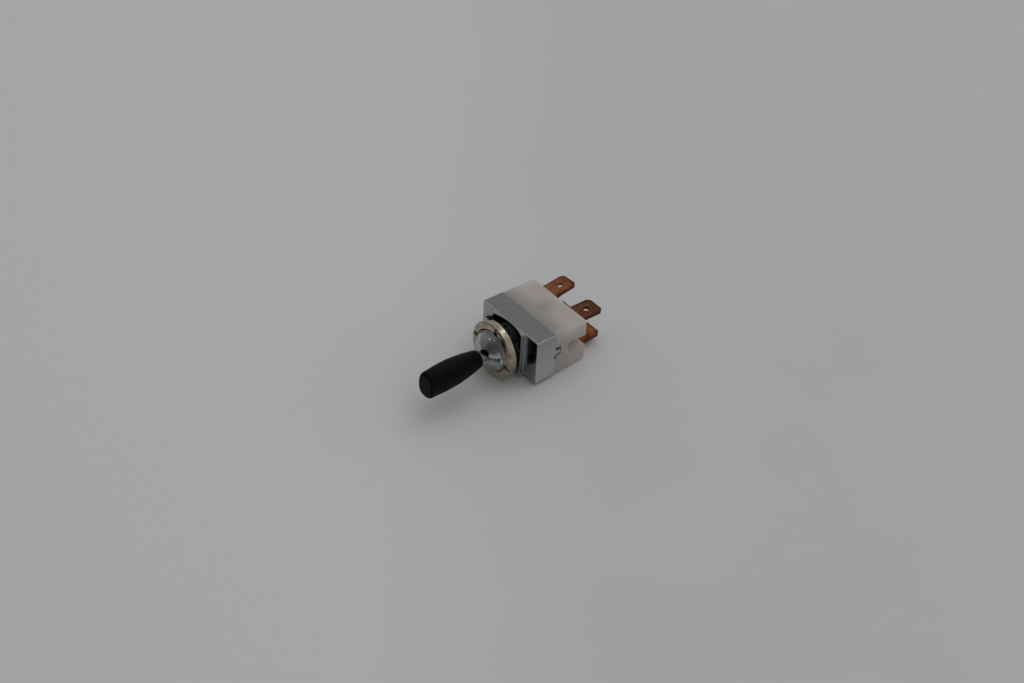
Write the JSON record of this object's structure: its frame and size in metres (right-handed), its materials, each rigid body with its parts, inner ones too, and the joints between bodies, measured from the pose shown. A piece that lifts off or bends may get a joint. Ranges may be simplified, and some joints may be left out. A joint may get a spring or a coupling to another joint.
{
  "type": "toggle switch",
  "caption": "Panel toggle switch with a threaded neck, domed slotted nose, paddle lever and blade terminals, shown lying on its side.",
  "frame": {"origin": "on the neck axis at the panel seat, the plane of the two locking ridges on the housing's front", "axes": "-Y along the neck towards the lever, +Y towards the terminals, +Z normal to the body's wide face, X across the body in the lever's swing"},
  "size_m": [0.0238, 0.0565, 0.0168],
  "materials": {
    "bright_metal": "bright plated casting, softly scuffed",
    "chrome": "polished chrome plate",
    "nickel_brass": "worn nickel plate over brass",
    "black_washer": "black, glossy edges",
    "steel": "turned, plain",
    "lever_metal": "zinc-plated casting",
    "black_plastic": "satin moulded",
    "spring_steel": "drawn wire",
    "cam_plastic": "moulded",
    "slide_plastic": "moulded phenolic",
    "copper": "bare rolled copper strip, browned",
    "silver": "contact rivets",
    "nylon": "milky translucent moulding",
    "fibre": "pressed fibre card"
  },
  "bodies": {
    "case": {"housing": "bright_metal", "threaded_neck": "chrome", "ring_nut": "nickel_brass", "panel_washer": "black_washer", "pivot_pin": "steel", "detent_cam": "cam_plastic", "upper_left_terminal": "copper", "upper_right_terminal": "copper", "lower_left_terminal": "copper", "lower_right_terminal": "copper", "fixed_contacts": "silver", "terminal_base": "nylon", "insulating_card": "fibre"},
    "lever": {"lever_shank": "lever_metal", "lever_grip": "black_plastic", "detent_spring": "spring_steel"},
    "plunger": {"detent_plunger": "steel"},
    "slide": {"contact_slide": "slide_plastic", "upper_bridge_spring": "spring_steel", "lower_bridge_spring": "spring_steel"},
    "upper_bridge": {"upper_bridge": "copper", "upper_bridge_contacts": "silver"},
    "lower_bridge": {"lower_bridge": "copper", "lower_bridge_contacts": "silver"}
  },
  "joints": [
    {"name": "lever_swing", "type": "hinge", "parent": "case", "child": "lever", "pos_m": [0, -0.0005, 0], "axis": [0, 0, 1], "range_deg": [-17.5, 10.5]},
    {"name": "plunger_travel", "type": "slide", "parent": "lever", "child": "plunger", "axis": [-0.061, 0.9981, 0], "range_m": [-0.0004, 0.0001], "stiffness_N_per_m": 200, "deforming": ["detent_spring"]},
    {"name": "slide_travel", "type": "slide", "parent": "case", "child": "slide", "axis": [1, 0, 0], "range_m": [-0.0013, 0.0021]},
    {"name": "upper_bridge_travel", "type": "slide", "parent": "slide", "child": "upper_bridge", "axis": [0, 1, 0], "range_m": [-0.0003, 0], "stiffness_N_per_m": 200, "deforming": ["upper_bridge_spring"]},
    {"name": "lower_bridge_travel", "type": "slide", "parent": "slide", "child": "lower_bridge", "axis": [0, 1, 0], "range_m": [-0.0003, 0], "stiffness_N_per_m": 200, "deforming": ["lower_bridge_spring"]}
  ],
  "couplings": [
    {"joint": "slide_travel", "follows": "lever_swing", "m_per_rad": -0.00615}
  ]
}
